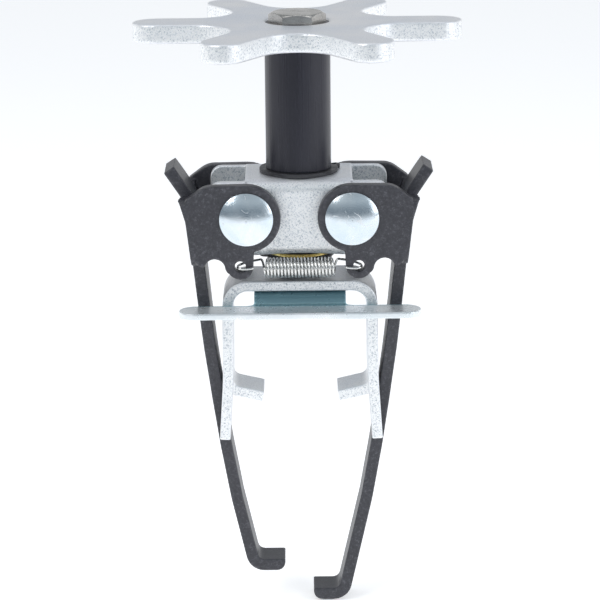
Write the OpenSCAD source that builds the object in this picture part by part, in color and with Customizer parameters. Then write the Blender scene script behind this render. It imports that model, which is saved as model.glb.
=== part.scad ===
// Two-jaw gear puller. Spring-closed jaws hang from a folded carrier, and a
// star handle turns a threaded tube that drives a claw bracket up and down.
// Millimetres, +Z up, screw axis on Z, z = 0 at the lower jaw foot.

/* [Star handle] */
// Diameter over the lobe tips
star_d = 125; // [118:1:130]
// Width of one lobe
star_lobe_w = 17; // [15:0.5:18]
// Radius at the bottom of the valley between two lobes
star_valley = 31.2; // [30:0.2:33]
// Plate thickness
star_t = 7.4; // [6:0.2:8]

/* [Drive] */
// Outer diameter of the tube
tube_d = 25; // [24.6:0.2:25]
// Hexagon size across flats
hex_af = 19; // [17:1:19]
// Height of the hexagon above the star
hex_h = 3.3; // [2.5:0.1:4]
// Diameter of the spindle
spindle_d = 16; // [14:0.5:17]

/* [Carrier] */
// Outer depth, front to back
car_d = 35; // [34.6:0.2:35]
// Half length of the two plates
car_l = 34.3; // [32:0.1:34.5]
// Plate thickness
car_t = 3.8; // [3.4:0.1:4]
// Half length of the top web
web_l = 20.4; // [18:0.2:21]

/* [Jaws] */
// Plate thickness
jaw_t = 4.6; // [4:0.1:4.6]
// Distance of each pivot from the screw axis
piv_x = 20; // [19.5:0.1:20.5]
// Radius of the cheek round the pivot
head_r = 13; // [12:0.5:13]
// Height of the left foot above the right foot
foot_step = 12.3; // [8:0.1:14]
// Pivot rivet shank diameter
rivet_d = 10; // [8:0.5:10]
// Rivet head diameter
rivet_head = 20.3; // [18:0.1:21]

/* [Claw bracket] */
// Plate thickness
claw_t = 4.1; // [3.6:0.1:4.2]
// Outer half width under the top corner
claw_w = 29.7; // [28:0.1:29.8]
// Depth, front to back
claw_d = 25; // [24:0.5:25]

/* [Finger plate] */
// Half length of the finger strip
fin_l = 46.2; // [42:0.2:47]
// Plate thickness
fin_t = 2.5; // [2:0.1:2.6]

/* [Hidden] */
$fn = 64;

z_top = 230;                  // top face of the star
z_piv = 158;                  // pivot height
car_z0 = 142;                 // carrier underside
car_z1 = 171.9;               // carrier top
bar_z = 131.4;                // top of the claw bracket
cheek_in = 18.2;              // inner face of each jaw cheek, from the middle
cheek_out = cheek_in + jaw_t; // outer face
ear = [22.5, 139.6];          // spring ear centre
ear_r = 5;
ear_hole = 4.3;

zinc = [0.78, 0.81, 0.84];
bright = [0.72, 0.80, 0.84];
black = [0.13, 0.13, 0.14];
steel = [0.70, 0.71, 0.72];
yellow = [0.78, 0.66, 0.30];

// ---- helpers ----
function unit(v) = v / norm(v);
function arc(c, r, a0, a1, n) = [for (i = [0:n]) c + r * [cos(a0 + (a1 - a0) * i / n), sin(a0 + (a1 - a0) * i / n)]];
function turn(a, b, c, r, n) =
    let (u = unit(a - b), w = unit(c - b), h = acos(u * w) / 2,
        o = b + unit(u + w) * r / sin(h),
        p = b + u * r / tan(h), q = b + w * r / tan(h),
        s = atan2(p[1] - o[1], p[0] - o[0]), e = atan2(q[1] - o[1], q[0] - o[0]),
        d = (e - s + 540) % 360 - 180)
    arc(o, r, s, s + d, n);
// path with each inner vertex rounded to the radius in its third entry
function smooth(p) = [for (i = [0:len(p) - 1])
    let (v = [p[i][0], p[i][1]])
    each (i == 0 || i == len(p) - 1 || p[i][2] == 0) ? [v]
        : turn([p[i-1][0], p[i-1][1]], v, [p[i+1][0], p[i+1][1]], p[i][2], 8)];
function ring(p) = [for (i = [0:len(p) - 1])
    let (a = p[(i + len(p) - 1) % len(p)], b = p[i], c = p[(i + 1) % len(p)])
    each b[2] == 0 ? [[b[0], b[1]]]
        : turn([a[0], a[1]], [b[0], b[1]], [c[0], c[1]], b[2], 6)];
function beside(p, d) = [for (i = [0:len(p) - 1])
    let (a = unit(i == 0 ? p[1] - p[0] : p[i] - p[i-1]),
        b = unit(i == len(p) - 1 ? a : p[i+1] - p[i]), t = unit(a + b))
    p[i] + d / (t * a) * [-t[1], t[0]]];
function back(p) = [for (i = [len(p) - 1:-1:0]) p[i]];
module strip(p, t) { polygon(concat(beside(p, t / 2), back(beside(p, -t / 2)))); }
// extrudes a drawing of the XZ plane along Y, from y0 to y1
module along_y(y0, y1) { translate([0, y1, 0]) rotate([90, 0, 0]) linear_extrude(y1 - y0) children(); }
// extrudes a drawing of the YZ plane along X, from x0 to x1
module along_x(x0, x1) { translate([x0, 0, 0]) rotate([90, 0, 90]) linear_extrude(x1 - x0) children(); }
module disc_y(x, z, r, y0, y1) { translate([x, y1, z]) rotate([90, 0, 0]) cylinder(r = r, h = y1 - y0); }

// ---- star handle ----
lobe_r = star_lobe_w / 2;
lobe_c = star_d / 2 - lobe_r;
// valley circle, tangent to the straight lobe sides
val_r = star_valley - star_lobe_w;
val_d = star_valley + val_r;
function star_outline() = [for (k = [0:5])
    each concat(
        [for (p = arc([lobe_c, 0], lobe_r, -90, 90, 16))
            [p[0] * cos(60 * k) - p[1] * sin(60 * k), p[0] * sin(60 * k) + p[1] * cos(60 * k)]],
        arc(val_d * [cos(60 * k + 30), sin(60 * k + 30)], val_r, 60 * k + 270, 60 * k + 150, 14))];

module star_handle() color(zinc)
    difference() {
        translate([0, 0, z_top - star_t]) linear_extrude(star_t) polygon(star_outline());
        translate([0, 0, z_top - star_t - 1]) cylinder(r = 12, h = star_t + 2);
        translate([0, 0, z_top - 0.8]) cylinder(r1 = 12, r2 = 12.6, h = 1.2);
    }

// ---- drive ----
module drive_hex() color(steel) {
    intersection() {
        translate([0, 0, z_top - 0.5]) cylinder(r = hex_af / sqrt(3), h = hex_h + 0.5, $fn = 6);
        translate([0, 0, z_top - 0.5]) cylinder(r1 = hex_af / 2 - 0.3 + (hex_h + 0.5) * 1.73, r2 = hex_af / 2 - 0.3, h = hex_h + 0.5);
    }
    translate([0, 0, z_top - 13.6]) cylinder(r = spindle_d / 2 + 0.05, h = 13.3);
}

module drive_tube() color(black) difference() {
    union() {
        translate([0, 0, 136.5]) cylinder(r = tube_d / 2, h = z_top - star_t - 136.5);
        translate([0, 0, z_top - star_t]) cylinder(r = 12, h = star_t - 0.5);
    }
    translate([0, 0, 130]) cylinder(r = spindle_d / 2 + 0.05, h = 110);
    for (z = [172, 139.3]) translate([0, 0, z - 0.05]) difference() {
        cylinder(r = 14, h = 1.5);
        translate([0, 0, -1]) cylinder(r = 11.7, h = 4);
    }
}

// external retaining ring: a split band with two eyed ends
module snap_ring(a, r) rotate(a) difference() {
    linear_extrude(1.4) difference() {
        union() {
            circle(r = r);
            for (s = [-1, 1]) rotate(13 * s) translate([r - 0.6, 0]) circle(r = 2.6);
        }
        circle(r = 11.75);
        polygon([[0, 0], [20, -2.3], [20, 2.3]]);
    }
    for (s = [-1, 1]) rotate(13 * s) translate([r - 0.4, 0, -1]) cylinder(r = 1, h = 4, $fn = 24);
}
module upper_retaining_ring() color(black) translate([0, 0, 172]) snap_ring(35, 15);
module lower_retaining_ring() color(black) translate([0, 0, 139.3]) snap_ring(180, 13.5);

module thrust_washer() color(yellow) translate([0, 0, 140.8]) difference() {
    cylinder(r = 13.6, h = 1.1);
    translate([0, 0, -1]) cylinder(r = 12.55, h = 4);
}

// ---- spindle ----
module spindle() color(steel) {
    translate([0, 0, bar_z]) cylinder(r = spindle_d / 2, h = 74);
    translate([0, 0, 115.6]) cylinder(r = 4.95, h = bar_z - 115.6);
}
module spindle_washer() color(steel) translate([0, 0, bar_z - claw_t - fin_t - 1.6]) difference() {
    cylinder(r = 8.3, h = 1.6);
    translate([0, 0, -1]) cylinder(r = 5.05, h = 4);
}
module spindle_nut() color(steel) translate([0, 0, bar_z - claw_t - fin_t - 8.4]) difference() {
    intersection() {
        cylinder(r = 17 / sqrt(3), h = 6.8, $fn = 6);
        translate([0, 0, -4]) cylinder(r1 = 6.6, r2 = 16.4, h = 10.8);
    }
    translate([0, 0, -1]) cylinder(r = 4.98, h = 12);
}

// ---- carrier ----
hd = car_d / 2;
module box_outline() polygon(ring([[-hd, car_z0, 4.2], [hd, car_z0, 4.2], [hd, car_z1, 4.6], [-hd, car_z1, 4.6]]));
module box_bore() polygon(ring([[-hd + car_t, car_z0 + car_t, 0.9], [hd - car_t, car_z0 + car_t, 0.9],
    [hd - car_t, car_z1 - car_t, 1.3], [-hd + car_t, car_z1 - car_t, 1.3]]));
module carrier() color(zinc) difference() {
    union() {
        // folded box round the tube
        along_x(-web_l, web_l) difference() { box_outline(); box_bore(); }
        // the two plates out to the jaw pivots
        for (m = [0, 1]) mirror([m, 0, 0]) intersection() {
            for (s = [-1, 1]) along_x(web_l - 0.4, car_l)
                polygon([[s * (hd - car_t), car_z0 + 1.4], [s * (hd - 0.6), car_z0 + 1.4], [s * hd, car_z0 + 2], [s * hd, car_z1 - 1.9],
                    [s * (hd - 0.4), car_z1 - 1.2], [s * (hd - 1.1), car_z1 - 0.8], [s * (hd - car_t), car_z1 - 0.8]]);
            along_y(-30, 30) polygon(ring([[10, car_z0 + 1.4, 0], [car_l, car_z0 + 1.4, 6], [car_l, car_z1 - 0.8, 4.6], [10, car_z1 - 0.8, 0]]));
        }
    }
    // ends of the bottom flanges
    for (s = [-1, 1]) translate([s > 0 ? 17.6 : -27.6, -hd + car_t, car_z0 - 2]) cube([10, car_d - 2 * car_t, 7]);
    // tube bore
    translate([0, 0, car_z0 - 5]) cylinder(r = tube_d / 2 + 0.05, h = 40);
    // arched lower edge
    along_y(-30, 30) translate([0, car_z0 + 1.2 - 121]) circle(r = 121, $fn = 360);
    // seam between the two bottom flanges
    translate([-30, -0.8, car_z0 - 2]) cube([60, 1.6, 7]);
    // pivot bores
    for (s = [-1, 1]) disc_y(s * piv_x, z_piv, rivet_d / 2, -30, 30);
}

// ---- pivots ----
cap_h = 3.1;
cap_r = (rivet_head * rivet_head / 4 + (cap_h - 0.6) * (cap_h - 0.6)) / (2 * (cap_h - 0.6));
module rivet_head_shape() rotate_extrude($fn = 96) polygon(concat([[0, 0], [rivet_head / 2 - 0.3, 0], [rivet_head / 2, 0.6]],
    [for (i = [1:12]) let (a = asin(rivet_head / 2 / cap_r) * (1 - i / 12)) [cap_r * sin(a), cap_h - cap_r + cap_r * cos(a)]]));
module rivet(x) color(bright) {
    disc_y(x, z_piv, rivet_d / 2, -cheek_out - 0.15, cheek_out + 0.15);
    for (s = [0, 1]) rotate([0, 0, 180 * s]) translate([s ? -x : x, -cheek_out - 0.1, z_piv]) rotate([90, 0, 0]) rivet_head_shape();
}
module rivet_left() rivet(-piv_x);
module rivet_right() rivet(piv_x);
module pivot_washers(x) color(steel) for (s = [-1, 1]) difference() {
    disc_y(x, z_piv, 9, s > 0 ? hd : -hd - 0.6, s > 0 ? hd + 0.6 : -hd);
    disc_y(x, z_piv, rivet_d / 2, -30, 30);
}
module pivot_washers_left() pivot_washers(-piv_x);
module pivot_washers_right() pivot_washers(piv_x);

// ---- jaws, drawn for the right-hand side ----
// middle line of the leg, from the thumb tab to the tip of the foot
function leg_x(z) = 21.1 - (24.1 - z) * 0.229;
function leg_path(zf, tip) = smooth([[49.4, 174.5, 0], [43.0, 164.9, 9], [40.8, 157.5, 14], [39.1, 143, 60],
    [36.75, 120, 120], [34.95, 104, 160], [32.2, 84, 90], [29.2, 64, 60], [25.3, 42.2, 70],
    [leg_x(zf + jaw_t / 2), zf + jaw_t / 2, 5], [tip, zf + jaw_t / 2, 0]]);
// the same leg seen from the side: half depth at each height
function leg_edge() = concat(
    [[5.6, 178.2], [7.8, 177], [9.2, 174.8], [9.7, 171.6], [9.5, 165.4]],
    arc([11, 163.6], 1.5, 180, 360, 8),
    [[12.5, 164.6]], arc([cheek_out - 2.5, 162.6], 2.5, 90, 0, 6),
    arc([cheek_out - 4, 143.5], 4, 0, -90, 6),
    turn([18, 139.5], [12.4, 139.5], [11.9, 133], 2.6, 6),
    [[8.6, 92], [7.9, 60], [7.3, 30], [7.3, -5]]);
module leg_side() polygon(concat(leg_edge(), [for (p = back(leg_edge())) [-p[0], p[1]]]));
// cheek, with the round head, the spring ear and the arch beside the leg
module cheek_outline() difference() {
    union() {
        translate([piv_x, z_piv]) circle(r = head_r, $fn = 96);
        polygon(concat([[piv_x, z_piv + head_r]],
            turn([piv_x, z_piv + head_r], [35.5, z_piv + head_r - 0.2], [43.2, 165.4], 9, 6),
            turn([35.5, z_piv + head_r - 0.2], [43.1, 165.3], [41.4, 156], 1.6, 5),
            [[40.6, 150], [39.5, 143.5]], arc([36.5, 142.5], 3, 0, -90, 6),
            arc([32.2, 138.6], 4, 13, 180, 16),
            [[27.2, 137]],
            [[ear[0], 137], [ear[0] - ear_r, ear[1]], [17.3, 144.6], [17.3, 150]]));
        translate(ear) circle(r = ear_r);
    }
    translate(ear) circle(r = ear_hole / 2, $fn = 32);
}
module jaw(zf, tip) color(black) difference() {
    union() {
        intersection() {
            along_y(-30, 30) difference() {
                strip(leg_path(zf, tip), jaw_t);
                // rounded toe
                difference() {
                    translate([tip - 1, zf - 1]) square(4.4);
                    translate([tip + 3.4, zf + 3.4]) circle(r = 3.4);
                }
            }
            along_x(-60, 60) leg_side();
        }
        for (s = [0, 1]) mirror([0, s, 0]) along_y(cheek_in, cheek_out) cheek_outline();
    }
    for (s = [-1, 1]) disc_y(piv_x, z_piv, rivet_d / 2 + 0.06, s > 0 ? cheek_in - 1 : -cheek_out - 1, s > 0 ? cheek_out + 1 : -cheek_in + 1);
}
module jaw_right() jaw(0, 4.3);
module jaw_left() mirror([1, 0, 0]) jaw(foot_step, 6.8);

// ---- jaw springs ----
spr_y = 21.2;
spr_z = 138.9;
spr_r = 4;
wire = 0.9;
arm_y = 17.6;
module jaw_spring(s) color(steel) {
    // close-wound body
    translate([-13.6, s * spr_y, spr_z]) rotate([0, 90, 0]) difference() {
        cylinder(r = spr_r, h = 27.2);
        translate([0, 0, -1]) cylinder(r = spr_r - wire, h = 30);
    }
    // straight arms behind the ears, and hooks out through their holes
    for (m = [-1, 1]) {
        translate([m > 0 ? 13 : -22.5, s * arm_y, spr_z]) rotate([0, 90, 0]) cylinder(r = wire / 2, h = 9.5, $fn = 20);
        disc_y(m * ear[0], spr_z, wire / 2, s > 0 ? arm_y : -cheek_out - 1, s > 0 ? cheek_out + 1 : -arm_y);
    }
}
module jaw_spring_front() jaw_spring(-1);
module jaw_spring_back() jaw_spring(1);

// ---- claw bracket ----
half_c = claw_t / 2;
leg_c = claw_w - half_c;
module claw_bracket() color(zinc) difference() {
    union() {
        // bar and legs
        along_y(-claw_d / 2, claw_d / 2) strip(smooth([[-leg_c - 1.95, 67.9, 0], [-leg_c - 0.4, 92, 120], [-leg_c, bar_z - half_c, 7.6],
            [leg_c, bar_z - half_c, 7.6], [leg_c + 0.4, 92, 120], [leg_c + 1.95, 67.9, 0]]), claw_t);
        // lanced tabs
        for (s = [0, 1]) mirror([s, 0, 0]) intersection() {
            along_y(-9.2, 9.2) strip(smooth([[leg_c + 0.35, 97, 0], [leg_c + 0.4, 87.5, 4.8], [14.6, 84.4, 0]]), claw_t);
            along_y(-30, 30) polygon(ring([[50, 110, 0], [10, 110, 0], [10, 79.5, 0], [14.3, 82.4, 1.2], [50, 70, 0]]));
        }
    }
    // open fork under each tab, where the jaw leg passes
    for (s = [-1, 1]) difference() {
        translate([s > 0 ? 22 : -45, -9.7, 60]) cube([23, 19.4, 34.5]);
        mirror([s > 0 ? 0 : 1, 0, 0]) along_y(-9.2, 9.2) strip(smooth([[leg_c + 0.35, 97, 0], [leg_c + 0.4, 87.5, 4.8], [14.6, 84.4, 0]]), claw_t);
    }
    translate([0, 0, 120]) cylinder(r = 5, h = 20);
}

// ---- finger plate ----
fin_y0 = 12;                  // front face of the wall, from the middle
fin_z = 122;                  // top of the finger strip
module finger_plate() color(bright) difference() {
    intersection() {
        along_x(-fin_l, fin_l) strip(smooth([[9, bar_z - claw_t - fin_t / 2, 0], [-fin_y0 + fin_t / 2, bar_z - claw_t - fin_t / 2, 2.0],
            [-fin_y0 + fin_t / 2, fin_z - fin_t / 2, 2.0], [-25.6, fin_z - fin_t / 2, 0]]), fin_t);
        union() {
            // flange and wall
            translate([-17.6, -13.2, 100]) cube([35.2, 40, 40]);
            // strip with rounded ends
            translate([0, 0, 100]) linear_extrude(fin_z + 0.01 - 100) polygon(ring([[-fin_l, -25.6, 5.9], [fin_l, -25.6, 5.9],
                [fin_l, -13.2, 5.9], [17.6, -13.2, 3.4], [17.6, -5, 0], [-17.6, -5, 0], [-17.6, -13.2, 3.4], [-fin_l, -13.2, 5.9]]));
        }
    }
    translate([0, 0, 120]) cylinder(r = 5, h = 20);
}

star_handle();
drive_hex();
drive_tube();
upper_retaining_ring();
thrust_washer();
lower_retaining_ring();
spindle();
spindle_washer();
spindle_nut();
carrier();
rivet_left();
rivet_right();
pivot_washers_left();
pivot_washers_right();
jaw_left();
jaw_right();
jaw_spring_front();
jaw_spring_back();
claw_bracket();
finger_plate();
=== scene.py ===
import math

import bmesh
import bpy
from mathutils import Matrix, Vector


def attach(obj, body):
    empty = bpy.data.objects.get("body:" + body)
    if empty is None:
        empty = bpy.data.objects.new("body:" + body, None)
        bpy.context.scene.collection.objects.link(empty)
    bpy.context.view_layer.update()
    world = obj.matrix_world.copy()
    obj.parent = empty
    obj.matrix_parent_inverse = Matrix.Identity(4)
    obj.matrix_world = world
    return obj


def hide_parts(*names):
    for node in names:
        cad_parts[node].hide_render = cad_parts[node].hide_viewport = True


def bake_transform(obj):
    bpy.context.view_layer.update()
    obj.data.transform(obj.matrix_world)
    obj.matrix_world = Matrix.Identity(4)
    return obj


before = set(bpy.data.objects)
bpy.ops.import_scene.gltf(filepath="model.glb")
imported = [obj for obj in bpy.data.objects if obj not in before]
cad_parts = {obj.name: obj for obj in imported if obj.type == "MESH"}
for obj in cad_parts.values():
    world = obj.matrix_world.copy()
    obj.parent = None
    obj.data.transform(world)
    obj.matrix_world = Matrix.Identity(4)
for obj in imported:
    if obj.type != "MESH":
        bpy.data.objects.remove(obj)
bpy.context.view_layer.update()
scene = bpy.context.scene
MM = 0.001


# ---------------------------------------------------------------- materials
class Nodes:
    """Small helper that writes a node tree line by line."""

    def __init__(self, name):
        self.mat = bpy.data.materials.new(name)
        self.mat.use_nodes = True
        self.tree = self.mat.node_tree
        self.tree.nodes.clear()
        self.out = self.add("ShaderNodeOutputMaterial")
        self.bsdf = self.add("ShaderNodeBsdfPrincipled")
        self.link(self.bsdf, "BSDF", self.out, "Surface")
        self.coord = self.add("ShaderNodeTexCoord")

    def add(self, kind, **props):
        n = self.tree.nodes.new(kind)
        for k, v in props.items():
            setattr(n, k, v)
        return n

    def link(self, a, out, b, inp):
        self.tree.links.new(a.outputs[out], b.inputs[inp])

    def mapped(self, scale=(1, 1, 1), rot=(0, 0, 0)):
        m = self.add("ShaderNodeMapping")
        m.inputs["Scale"].default_value = scale
        m.inputs["Rotation"].default_value = rot
        self.link(self.coord, "Object", m, "Vector")
        return m

    def noise(self, scale, detail=4.0, rough=0.55, stretch=None, rot=(0, 0, 0), distort=0.0):
        n = self.add("ShaderNodeTexNoise")
        n.inputs["Scale"].default_value = scale
        n.inputs["Detail"].default_value = detail
        n.inputs["Roughness"].default_value = rough
        n.inputs["Distortion"].default_value = distort
        m = self.mapped(stretch or (1, 1, 1), rot)
        self.link(m, "Vector", n, "Vector")
        return n, "Fac"

    def ramp(self, src, stops, interp="LINEAR"):
        r = self.add("ShaderNodeValToRGB")
        r.color_ramp.interpolation = interp
        el = r.color_ramp.elements
        while len(el) > 1:
            el.remove(el[-1])
        el[0].position, el[0].color = stops[0][0], self.rgba(stops[0][1])
        for p, c in stops[1:]:
            e = el.new(p)
            e.color = self.rgba(c)
        self.link(src[0], src[1], r, "Fac")
        return r, "Color"

    @staticmethod
    def rgba(c):
        return (c, c, c, 1.0) if isinstance(c, (int, float)) else (*c, 1.0)

    def math(self, op, a, b=None, clamp=False):
        n = self.add("ShaderNodeMath", operation=op, use_clamp=clamp)
        for i, v in enumerate((a, b)):
            if v is None:
                continue
            if isinstance(v, (int, float)):
                n.inputs[i].default_value = v
            else:
                self.tree.links.new(v[0].outputs[v[1]], n.inputs[i])
        return n, "Value"

    def mix(self, fac, a, b, blend="MIX"):
        n = self.add("ShaderNodeMix", data_type="RGBA", blend_type=blend)
        for i, v in ((0, fac), (6, a), (7, b)):
            sock = n.inputs[i]
            if isinstance(v, (int, float)):
                sock.default_value = v if i == 0 else self.rgba(v)
            elif isinstance(v[0], (int, float)):
                sock.default_value = self.rgba(v)
            else:
                self.tree.links.new(v[0].outputs[v[1]], sock)
        return n, 2

    def to(self, src, socket):
        self.tree.links.new(src[0].outputs[src[1]], self.bsdf.inputs[socket])

    def bump(self, height, strength, distance, under=None):
        b = self.add("ShaderNodeBump")
        b.inputs["Strength"].default_value = strength
        b.inputs["Distance"].default_value = distance
        self.tree.links.new(height[0].outputs[height[1]], b.inputs["Height"])
        if under:
            self.tree.links.new(under[0].outputs["Normal"], b.inputs["Normal"])
        return b, "Normal"

    def facing(self, axis):
        """1 where the surface faces along +-axis, 0 where it is square to it."""
        d = self.add("ShaderNodeVectorMath", operation="DOT_PRODUCT")
        d.inputs[1].default_value = axis
        self.link(self.coord, "Normal", d, 0)
        return self.math("ABSOLUTE", (d, "Value"))

    def edges(self, lo, hi):
        g = self.add("ShaderNodeNewGeometry")
        return self.ramp((g, "Pointiness"), [(lo, 0.0), (hi, 1.0)])

    def scratches(self, density=60, width=0.012, rot=0.0):
        """Thin straight marks in a few directions."""
        total = None
        for k, (ang, sc) in enumerate(((0.35 + rot, 1.0), (-0.8 + rot, 0.8), (1.35 + rot, 1.2))):
            n = self.noise(density * sc, 1.0, 0.3, (1, 0.03, 1), (0.4 * k, ang, ang * 0.7))
            v = self.math("ABSOLUTE", self.math("SUBTRACT", n, 0.5))
            line = self.math("LESS_THAN", v, width * 0.25)
            gate = self.math("GREATER_THAN", self.noise(90 + 17 * k, 2.0, 0.5), 0.6)
            line = self.math("MULTIPLY", line, gate)
            total = line if total is None else self.math("MAXIMUM", total, line)
        return total


def zinc(name, cut_axis, tint=(0.80, 0.825, 0.87), flat_rough=0.30, grain=1.0):
    """Blue-white zinc on pressed steel: fine crystal sparkle on the faces, coarse torn grain on the cut edges."""
    m = Nodes(name)
    cut = m.facing(cut_axis)
    cut = m.ramp(cut, [(0.55, 0.0), (0.85, 1.0)])
    fine = m.noise(2000, 3.0, 0.7)
    coarse = m.noise(1500, 4.0, 0.72, distort=0.3)
    cloud = m.noise(38, 4.0, 0.6)
    # colour
    face_c = m.ramp(cloud, [(0.30, (tint[0] * 0.90, tint[1] * 0.93, tint[2] * 0.97)), (0.55, tint),
                            (0.75, (min(1, tint[0] * 1.08), min(1, tint[1] * 1.06), min(1, tint[2] * 1.03)))])
    spark = m.ramp(fine, [(0.36, 0.78), (0.5, 0.95), (0.66, 1.0)])
    face_c = m.mix(0.75 * grain, face_c, spark, "MULTIPLY")
    cut_c = m.ramp(coarse, [(0.36, (0.48, 0.52, 0.56)), (0.46, (0.84, 0.86, 0.88)), (0.54, (0.96, 0.97, 0.97)), (0.66, (1.0, 1.0, 1.0))])
    col = m.mix(cut, face_c, cut_c)
    # painted highlight: convex edges (high pointiness) are lightened towards pale blue-white
    edge = m.edges(0.505, 0.535)
    col = m.mix(m.math("MULTIPLY", edge, 0.45), col, (0.93, 0.95, 0.98))
    m.to(col, "Base Color")
    m.bsdf.inputs["Metallic"].default_value = 0.70
    # roughness
    r_face = m.ramp(fine, [(0.35, flat_rough + 0.22), (0.65, flat_rough)])
    r_cut = m.ramp(coarse, [(0.35, 0.52), (0.68, 0.26)])
    m.to(m.mix(cut, r_face, r_cut), "Roughness")
    # relief
    h = m.mix(cut, m.math("MULTIPLY", fine, 0.30), m.math("MULTIPLY", coarse, 1.0))
    b = m.bump(h, 0.50, 0.00016)
    b = m.bump(m.noise(260, 3.0, 0.6), 0.16, 0.0004, b)
    b = m.bump(m.scratches(120, 0.02, 0.4), 0.12, 0.00005, b)
    m.to(b, "Normal")
    return m.mat


def bright_zinc(name, tint=(0.74, 0.81, 0.86), rough=0.16):
    """Smooth cold-formed steel under bright zinc, with light handling marks."""
    m = Nodes(name)
    cloud = m.noise(70, 5.0, 0.6)
    fine = m.noise(1900, 2.0, 0.5)
    col = m.ramp(cloud, [(0.28, (tint[0] * 0.84, tint[1] * 0.90, tint[2] * 0.94)), (0.50, tint), (0.72, (0.86, 0.90, 0.93))])
    marks = m.scratches(150, 0.03)
    col = m.mix(m.math("MULTIPLY", marks, 0.5), col, (0.95, 0.96, 0.97))
    m.to(col, "Base Color")
    m.bsdf.inputs["Metallic"].default_value = 0.96
    r = m.ramp(m.noise(210, 6.0, 0.7), [(0.30, rough), (0.72, rough + 0.14)])
    r = m.mix(m.math("MULTIPLY", marks, 0.8), r, 0.5)
    m.to(r, "Roughness")
    b = m.bump(m.noise(95, 3.0, 0.5), 0.07, 0.0006)
    b = m.bump(fine, 0.05, 0.0001, b)
    b = m.bump(marks, 0.18, 0.00005, b)
    m.to(b, "Normal")
    return m.mat


def black_steel(name, cut_axis):
    """Blackened hot-rolled plate: satin faces, grainier lighter cut edges, worn corners."""
    m = Nodes(name)
    cut = m.ramp(m.facing(cut_axis), [(0.6, 0.0), (0.9, 1.0)])
    fine = m.noise(2100, 4.0, 0.7)
    coarse = m.noise(900, 5.0, 0.75, distort=0.4)
    cloud = m.noise(60, 5.0, 0.6)
    face = m.ramp(cloud, [(0.3, (0.024, 0.024, 0.031)), (0.7, (0.038, 0.038, 0.048))])
    dust = m.ramp(coarse, [(0.60, 0.0), (0.70, 1.0)])
    face = m.mix(m.math("MULTIPLY", dust, 0.22), face, (0.09, 0.09, 0.10))
    edge_c = m.ramp(coarse, [(0.38, (0.026, 0.026, 0.033)), (0.55, (0.046, 0.046, 0.056)), (0.70, (0.13, 0.13, 0.15))])
    col = m.mix(m.math("MULTIPLY", cut, 0.75), face, edge_c)
    wear = m.math("MULTIPLY", m.edges(0.515, 0.56), m.ramp(m.noise(420, 5.0, 0.7), [(0.42, 0.0), (0.60, 1.0)]))
    col = m.mix(m.math("MULTIPLY", wear, 0.40), col, (0.20, 0.20, 0.21))
    marks = m.scratches(110, 0.03, 0.9)
    col = m.mix(m.math("MULTIPLY", marks, 0.07), col, (0.20, 0.20, 0.21))
    m.to(col, "Base Color")
    m.bsdf.inputs["Metallic"].default_value = 0.0
    m.bsdf.inputs["Specular IOR Level"].default_value = 0.6
    r = m.ramp(fine, [(0.32, 0.46), (0.66, 0.34)])
    m.to(m.mix(m.math("MULTIPLY", cut, 0.6), r, 0.52), "Roughness")
    b = m.bump(m.mix(cut, m.math("MULTIPLY", fine, 0.35), coarse), 0.45, 0.00016)
    b = m.bump(m.noise(240, 3.0, 0.6), 0.14, 0.0004, b)
    b = m.bump(marks, 0.04, 0.00005, b)
    m.to(b, "Normal")
    return m.mat


def black_tube(name):
    """Drawn tube, blackened and oiled, with long drawing lines."""
    m = Nodes(name)
    lines = m.noise(700, 4.0, 0.65, (1, 1, 0.012))
    broad = m.noise(120, 3.0, 0.5, (1, 1, 0.02))
    fine = m.noise(1700, 3.0, 0.6)
    col = m.ramp(broad, [(0.3, (0.020, 0.020, 0.028)), (0.7, (0.034, 0.034, 0.045))])
    col = m.mix(m.math("MULTIPLY", m.ramp(fine, [(0.66, 0.0), (0.74, 1.0)]), 0.3), col, (0.12, 0.12, 0.13))
    m.to(col, "Base Color")
    m.bsdf.inputs["Specular IOR Level"].default_value = 0.30
    m.to(m.ramp(lines, [(0.35, 0.24), (0.65, 0.40)]), "Roughness")
    b = m.bump(lines, 0.16, 0.0001)
    b = m.bump(fine, 0.10, 0.0001, b)
    m.to(b, "Normal")
    return m.mat


def machined(name, base=(0.42, 0.42, 0.42), rough=0.34, metal=0.9):
    """Turned or drawn steel with fine tool lines."""
    m = Nodes(name)
    lines = m.noise(1500, 3.0, 0.6, (0.15, 0.15, 1))
    cloud = m.noise(110, 4.0, 0.6)
    m.to(m.ramp(cloud, [(0.3, tuple(c * 0.78 for c in base)), (0.7, tuple(min(1, c * 1.2) for c in base))]), "Base Color")
    m.bsdf.inputs["Metallic"].default_value = metal
    m.to(m.ramp(lines, [(0.35, rough + 0.12), (0.65, rough - 0.06)]), "Roughness")
    m.to(m.bump(lines, 0.2, 0.00012), "Normal")
    return m.mat


def wire_steel(name):
    m = Nodes(name)
    fine = m.noise(2200, 3.0, 0.6)
    m.to(m.ramp(fine, [(0.3, (0.62, 0.62, 0.61)), (0.65, (0.84, 0.84, 0.82))]), "Base Color")
    m.bsdf.inputs["Metallic"].default_value = 1.0
    m.to(m.ramp(fine, [(0.3, 0.30), (0.7, 0.16)]), "Roughness")
    m.to(m.bump(fine, 0.08, 0.0001), "Normal")
    return m.mat


def yellow_zinc(name):
    """Yellow chromate: golden film that drifts towards pink and green."""
    m = Nodes(name)
    drift = m.noise(95, 3.0, 0.5)
    m.to(m.ramp(drift, [(0.30, (0.66, 0.46, 0.14)), (0.46, (0.80, 0.62, 0.22)), (0.58, (0.72, 0.66, 0.30)), (0.72, (0.80, 0.52, 0.30))]), "Base Color")
    m.bsdf.inputs["Metallic"].default_value = 0.9
    m.to(m.ramp(m.noise(1500, 3.0, 0.6), [(0.3, 0.40), (0.7, 0.24)]), "Roughness")
    m.to(m.bump(m.noise(900, 3.0, 0.6), 0.12, 0.0001), "Normal")
    return m.mat


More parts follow.
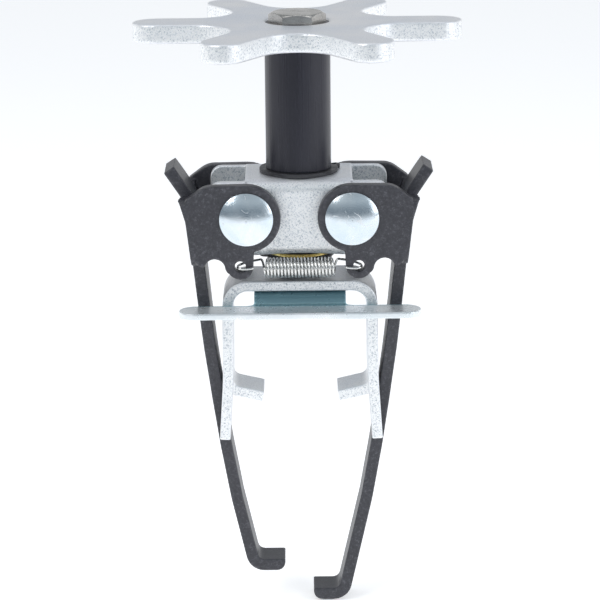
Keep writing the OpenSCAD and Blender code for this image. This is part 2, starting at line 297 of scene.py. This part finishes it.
def finger_zinc(name):
    """Smooth blue passivated sheet, pale on the strip and its rims; the upright wall carries painted shade and painted
    dark reflection under the bar, running from pale blue at its foot to deep teal at its top.
    """
    m = Nodes(name)
    cloud = m.noise(80, 4.0, 0.6)
    p = m.add("ShaderNodeSeparateXYZ")
    m.link(m.coord, "Object", p, 0)
    # painted shade: behind the strip, the upright wall's colour darkens with height, standing in for the shade and
    # dark reflection under the bar
    wall_shade_mask = m.math("GREATER_THAN", (p, "Y"), -0.0146)
    wall_painted_shade = m.ramp((p, "Z"), [(0.1222, (0.40, 0.62, 0.68)), (0.1250, (0.17, 0.31, 0.36)), (0.1285, (0.06, 0.13, 0.16))])
    wall_shaded = m.mix(0.25, wall_painted_shade, m.ramp(cloud, [(0.30, (0.8, 0.8, 0.8)), (0.70, (1.0, 1.0, 1.0))]), "MULTIPLY")
    flat = m.ramp(cloud, [(0.30, (0.74, 0.80, 0.83)), (0.70, (0.90, 0.93, 0.95))])
    m.to(m.mix(wall_shade_mask, flat, wall_shaded), "Base Color")
    m.bsdf.inputs["Metallic"].default_value = 0.60
    m.to(m.ramp(m.noise(230, 5.0, 0.6), [(0.30, 0.24), (0.72, 0.36)]), "Roughness")
    b = m.bump(m.noise(1900, 2.0, 0.5), 0.06, 0.0001)
    m.to(b, "Normal")
    return m.mat


M = {
    "star": zinc("zinc_star", (0, 0, 0.0), tint=(0.89, 0.895, 0.92), flat_rough=0.33),
    "plate": zinc("zinc_plate", (0, 1, 0), tint=(0.84, 0.85, 0.87)),
    "bright": bright_zinc("bright_zinc"),
    "rivet": bright_zinc("bright_rivet", tint=(0.72, 0.79, 0.84), rough=0.13),
    "black": black_steel("black_steel", (0, 1, 0)),
    "tube": black_tube("black_tube"),
    "finger": finger_zinc("finger_zinc"),
    "hex": machined("hex_steel", base=(0.47, 0.455, 0.43), rough=0.20, metal=1.0),
    "steel": machined("machined_steel"),
    "dark": machined("dark_ring", base=(0.05, 0.05, 0.055), rough=0.42, metal=0.5),
    "wire": wire_steel("spring_wire"),
    "yellow": yellow_zinc("yellow_zinc"),
}


def star_material():
    """The star's cut edge runs all round it, so its grain follows how upright the surface is."""
    m = M["star"]
    t = m.node_tree
    dot = next(n for n in t.nodes if n.type == "VECT_MATH" and n.operation == "DOT_PRODUCT")
    dot.inputs[1].default_value = (0, 0, 1)
    absolute = dot.outputs["Value"].links[0].to_node
    ramp = absolute.outputs["Value"].links[0].to_node
    ramp.color_ramp.elements[0].position, ramp.color_ramp.elements[0].color = 0.18, (1, 1, 1, 1)
    ramp.color_ramp.elements[1].position, ramp.color_ramp.elements[1].color = 0.45, (0, 0, 0, 1)


star_material()


def paint(node, key):
    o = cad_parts[node]
    if not o.material_slots:
        o.data.materials.append(M[key])
    for s in o.material_slots:
        s.material = M[key]
    return o


def soften(node, voxel, rounds, smooth=0.5, keep=None):
    """Gives a pressed plate its rolled, tumbled edges."""
    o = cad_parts[node]
    w = o.modifiers.new("weld", "WELD")
    w.merge_threshold = 2e-6
    r = o.modifiers.new("skin", "REMESH")
    r.mode = "VOXEL"
    r.voxel_size = voxel * MM
    r.use_smooth_shade = True
    s = o.modifiers.new("roll", "SMOOTH")
    s.factor = smooth
    s.iterations = rounds
    if keep:
        d = o.modifiers.new("thin", "DECIMATE")
        d.ratio = keep
    return o


def bevel(node, width, segments=3, angle=32):
    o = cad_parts[node]
    w = o.modifiers.new("weld", "WELD")
    w.merge_threshold = 2e-6
    b = o.modifiers.new("edge", "BEVEL")
    b.width = width * MM
    b.segments = segments
    b.limit_method = "ANGLE"
    b.angle_limit = math.radians(angle)
    b.use_clamp_overlap = True
    n = o.modifiers.new("normals", "WEIGHTED_NORMAL")
    n.keep_sharp = False
    for p in o.data.polygons:
        p.use_smooth = True
    return o


for node, key in {
    "star_handle": "star", "drive_hex": "hex", "drive_tube": "tube",
    "upper_retaining_ring": "dark", "lower_retaining_ring": "dark", "thrust_washer": "yellow",
    "spindle": "steel", "spindle_washer": "steel", "spindle_nut": "bright",
    "carrier": "plate", "rivet_left": "rivet", "rivet_right": "rivet",
    "pivot_washers_left": "steel", "pivot_washers_right": "steel",
    "jaw_left": "black", "jaw_right": "black", "claw_bracket": "plate", "finger_plate": "finger",
    "jaw_spring_front": "wire", "jaw_spring_back": "wire",
}.items():
    paint(node, key)

soften("star_handle", 0.50, 14)
soften("carrier", 0.34, 4)
soften("jaw_left", 0.36, 4)
soften("jaw_right", 0.36, 4)
soften("claw_bracket", 0.34, 4)
soften("finger_plate", 0.28, 6)
for node, width in (("drive_tube", 0.25), ("drive_hex", 0.18), ("upper_retaining_ring", 0.15), ("lower_retaining_ring", 0.15),
                    ("thrust_washer", 0.2), ("spindle_washer", 0.2), ("spindle_nut", 0.2)):
    bevel(node, width)


# ---------------------------------------------------------------- pieces
def new_mesh(name, verts, faces, material, smooth=True):
    me = bpy.data.meshes.new(name)
    me.from_pydata(verts, [], faces)
    me.validate()
    me.update()
    if smooth:
        me.polygons.foreach_set("use_smooth", [True] * len(me.polygons))
    me.materials.append(material)
    o = bpy.data.objects.new(name, me)
    scene.collection.objects.link(o)
    return o


def tube_along(points, radius, sides=10):
    """A closed round wire along the points, with rings turned to follow it without twist."""
    verts, faces = [], []
    pts = [Vector(p) for p in points]
    n = len(pts)
    tangent = [(pts[min(i + 1, n - 1)] - pts[max(i - 1, 0)]).normalized() for i in range(n)]
    normal = tangent[0].orthogonal().normalized()
    for i in range(n):
        if i:
            q = tangent[i - 1].rotation_difference(tangent[i])
            normal = (q @ normal).normalized()
        b = tangent[i].cross(normal).normalized()
        for k in range(sides):
            a = 2 * math.pi * k / sides
            verts.append(pts[i] + radius * (math.cos(a) * normal + math.sin(a) * b))
    for i in range(n - 1):
        for k in range(sides):
            k2 = (k + 1) % sides
            faces.append((i * sides + k, i * sides + k2, (i + 1) * sides + k2, (i + 1) * sides + k))
    verts.append(pts[0] - tangent[0] * radius * 0.6)
    verts.append(pts[-1] + tangent[-1] * radius * 0.6)
    for k in range(sides):
        k2 = (k + 1) % sides
        faces.append((k2, k, n * sides))
        faces.append(((n - 1) * sides + k, (n - 1) * sides + k2, n * sides + 1))
    return verts, faces


def curve_through(points, steps=8):
    """Catmull-Rom curve through the points."""
    p = [Vector(q) for q in points]
    p = [2 * p[0] - p[1]] + p + [2 * p[-1] - p[-2]]
    out = []
    for i in range(1, len(p) - 2):
        for s in range(steps):
            t = s / steps
            out.append(0.5 * ((2 * p[i]) + (p[i + 1] - p[i - 1]) * t
                              + (2 * p[i - 1] - 5 * p[i] + 4 * p[i + 1] - p[i + 2]) * t * t
                              + (3 * p[i] - p[i - 1] - 3 * p[i + 1] + p[i + 2]) * t ** 3))
    out.append(p[-2])
    return out


def spring_half(name, side, front):
    """Half of a tension spring, from the middle of the coil to the hook in the jaw's ear."""
    s = -1 if side == "left" else 1      # which way the hook goes
    f = -1 if front else 1
    half, turns, wire = 13.3, 10.25, 0.46
    y0, z0 = 21.2 * f, 138.9
    pts = []
    steps = int(turns * 22)
    for i in range(steps + 1):
        t = i / steps
        a = math.radians(-90) + 2 * math.pi * turns * t * s
        mean = 3.50 if t < 0.86 else 3.50 - 0.75 * (t - 0.86) / 0.14
        pts.append((s * half * t, y0 + mean * math.cos(a), z0 + mean * math.sin(a)))
    end = pts[-1]
    hook = [end,
            (s * 14.3, y0 - f * 1.4, z0 + 2.6),
            (s * 15.8, f * 18.2, 141.2),
            (s * 18.2, f * 17.4, 140.6),
            (s * 20.8, f * 17.1, 139.9),
            (s * 22.3, f * 17.5, 139.4),
            (s * 23.3, f * 18.9, 139.2),
            (s * 23.5, f * 21.4, 139.1),
            (s * 23.0, f * 23.2, 139.1),
            (s * 21.6, f * 23.8, 139.0),
            (s * 19.6, f * 23.7, 139.0),
            (s * 17.6, f * 23.4, 139.2)]
    pts = [Vector(p) for p in pts[:-1]] + curve_through(hook, 7)
    pts = [Vector(p) * MM for p in pts]
    verts, faces = tube_along(pts, wire * MM, 10)
    o = new_mesh(name, verts, faces, M["wire"])
    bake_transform(o)
    return o


for tag, front in (("front", True), ("back", False)):
    for side in ("left", "right"):
        o = spring_half(f"spring_{tag}_{side}", side, front)
        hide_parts(f"jaw_spring_{tag}")


def threaded_rod():
    """The spindle with its coarse thread, shoulder and threaded stud."""
    n = 64
    profile = []

    def ridge(u):          # 0 at the root, 1 at the crest
        u = u % 1.0
        d = abs(u - 0.5) * 2
        return min(1.0, max(0.0, (1 - d) * 1.9 - 0.35))

    rings = []
    z = 115.6
    while z < 205.41:
        rings.append(z)
        z += 0.25 if z < 131.3 or z > 133.2 else 0.2
    verts, faces = [], []
    for z in rings:
        for k in range(n):
            a = 2 * math.pi * k / n
            if z < 131.39:
                if z < 124.5:
                    r = 4.30 + 0.65 * ridge(z / 1.5 - k / n)
                    r -= max(0.0, 0.9 - (z - 115.6)) * 0.8
                else:
                    r = 4.95
            elif z < 132.6:
                r = 8.0
            else:
                r = 6.95 + 1.05 * ridge(z / 2.0 + k / n)
                r -= max(0.0, 1.0 - (205.4 - z)) * 0.8
            verts.append(Vector((r * math.cos(a), r * math.sin(a), z)) * MM)
    m = len(rings)
    for i in range(m - 1):
        for k in range(n):
            k2 = (k + 1) % n
            faces.append((i * n + k, i * n + k2, (i + 1) * n + k2, (i + 1) * n + k))
    faces.append(tuple(range(n - 1, -1, -1)))
    faces.append(tuple((m - 1) * n + k for k in range(n)))
    o = new_mesh("spindle_threaded", verts, faces, M["steel"])
    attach(o, "claw_body")
    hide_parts("spindle")
    return o


threaded_rod()


# ---------------------------------------------------------------- stage
def stage_floor():
    """Flat pale floor, open on every side; it falls off to grey well in front of the object."""
    verts = [Vector(p) for p in ((-4, -4, -0.0005), (4, -4, -0.0005), (4, 4, -0.0005), (-4, 4, -0.0005))]
    m = Nodes("floor_white")
    place = m.add("ShaderNodeSeparateXYZ")
    m.link(m.coord, "Object", place, 0)
    depth = m.math("MULTIPLY", m.math("ADD", (place, "Y"), 1.6), 0.8, clamp=True)
    tone = m.ramp(depth, [(0.0, (0.26, 0.28, 0.30)), (0.28, (0.30, 0.33, 0.36)), (0.86, (0.93, 0.93, 0.935))])
    m.to(tone, "Base Color")
    m.to(tone, "Emission Color")
    m.bsdf.inputs["Roughness"].default_value = 0.9
    m.bsdf.inputs["Specular IOR Level"].default_value = 0.1
    m.bsdf.inputs["Emission Strength"].default_value = 0.52
    o = new_mesh("floor", verts, [(0, 1, 2, 3)], m.mat)


stage_floor()

world = bpy.data.worlds.new("studio")
scene.world = world
world.use_nodes = True
wt = world.node_tree
bg = wt.nodes["Background"]
tc = wt.nodes.new("ShaderNodeTexCoord")
sep = wt.nodes.new("ShaderNodeSeparateXYZ")
wt.links.new(tc.outputs["Generated"], sep.inputs[0])


def band(axis, stops):
    """Grey ramp over one component of the direction."""
    k = wt.nodes.new("ShaderNodeMath")
    k.operation = "MULTIPLY_ADD"
    k.inputs[1].default_value = 0.5
    k.inputs[2].default_value = 0.5
    wt.links.new(sep.outputs[axis], k.inputs[0])
    r = wt.nodes.new("ShaderNodeValToRGB")
    wt.links.new(k.outputs[0], r.inputs[0])
    el = r.color_ramp.elements
    el[0].position, el[0].color = stops[0][0], (*stops[0][1], 1)
    el[1].position, el[1].color = stops[-1][0], (*stops[-1][1], 1)
    for p, c in stops[1:-1]:
        e = el.new(p)
        e.color = (*c, 1)
    return r


# a white room at the sides and behind, a darker one in front of the object
sides = band("Z", [(0.0, (0.95, 0.95, 0.95)), (0.50, (1.20, 1.20, 1.20)), (0.58, (0.80, 0.82, 0.84)), (0.88, (0.50, 0.54, 0.58)), (1.0, (0.50, 0.53, 0.57))])
ahead = band("Z", [(0.0, (0.30, 0.31, 0.32)), (0.48, (0.21, 0.26, 0.31)), (0.57, (0.27, 0.33, 0.38)), (0.72, (0.62, 0.69, 0.74)), (1.0, (0.30, 0.34, 0.38))])
turn = band("Y", [(0.0, (0.0, 0.0, 0.0)), (0.22, (0.0, 0.0, 0.0)), (0.42, (1.0, 1.0, 1.0)), (1.0, (1.0, 1.0, 1.0))])
both = wt.nodes.new("ShaderNodeMix")
both.data_type = "RGBA"
wt.links.new(turn.outputs[0], both.inputs[0])
wt.links.new(ahead.outputs[0], both.inputs[6])
wt.links.new(sides.outputs[0], both.inputs[7])
wt.links.new(both.outputs[2], bg.inputs["Color"])
bg.inputs["Strength"].default_value = 0.75


def area(name, loc, target, size, power, color=(1, 1, 1), size_y=None):
    d = bpy.data.lights.new(name, "AREA")
    d.shape = "RECTANGLE"
    d.size = size
    d.size_y = size_y or size
    d.energy = power
    d.color = color
    o = bpy.data.objects.new(name, d)
    scene.collection.objects.link(o)
    o.location = loc
    o.rotation_euler = (Vector(target) - Vector(loc)).to_track_quat("-Z", "Y").to_euler()
    return o


area("key", (-0.75, -0.75, 0.95), (0, 0, 0.13), 0.55, 4.6, (1.0, 0.99, 0.97))
area("fill", (0.95, -0.6, 0.55), (0, 0, 0.13), 0.6, 3.7, (0.97, 0.98, 1.0), 0.9)
area("top", (0, 0.15, 1.15), (0, 0, 0.15), 0.7, 1.4, (0.97, 0.98, 1.0))
area("rim_left", (-0.8, 0.55, 0.45), (0, 0, 0.13), 0.25, 0.6, (1, 1, 1), 0.9)
area("rim_right", (0.8, 0.55, 0.45), (0, 0, 0.13), 0.25, 0.6, (1, 1, 1), 0.9)

# ---------------------------------------------------------------- camera
ELEV = math.radians(14.5)
DIST = 1.132
target = Vector((0, 0, 0.1206))
backward = Vector((0, -math.cos(ELEV), math.sin(ELEV)))
cam_data = bpy.data.cameras.new("camera")
cam_data.sensor_width = 36.0
cam_data.lens = 36.0 * 2918 / 600
cam_data.clip_start, cam_data.clip_end = 0.05, 20
cam = bpy.data.objects.new("camera", cam_data)
scene.collection.objects.link(cam)
cam.location = target + backward * DIST
cam.rotation_mode = "QUATERNION"
look = (-backward).to_track_quat("-Z", "Y")
cam.rotation_quaternion = (look.to_matrix() @ Matrix.Rotation(math.radians(-0.6), 3, "Z")).to_quaternion()
scene.camera = cam

scene.view_settings.view_transform = "Standard"
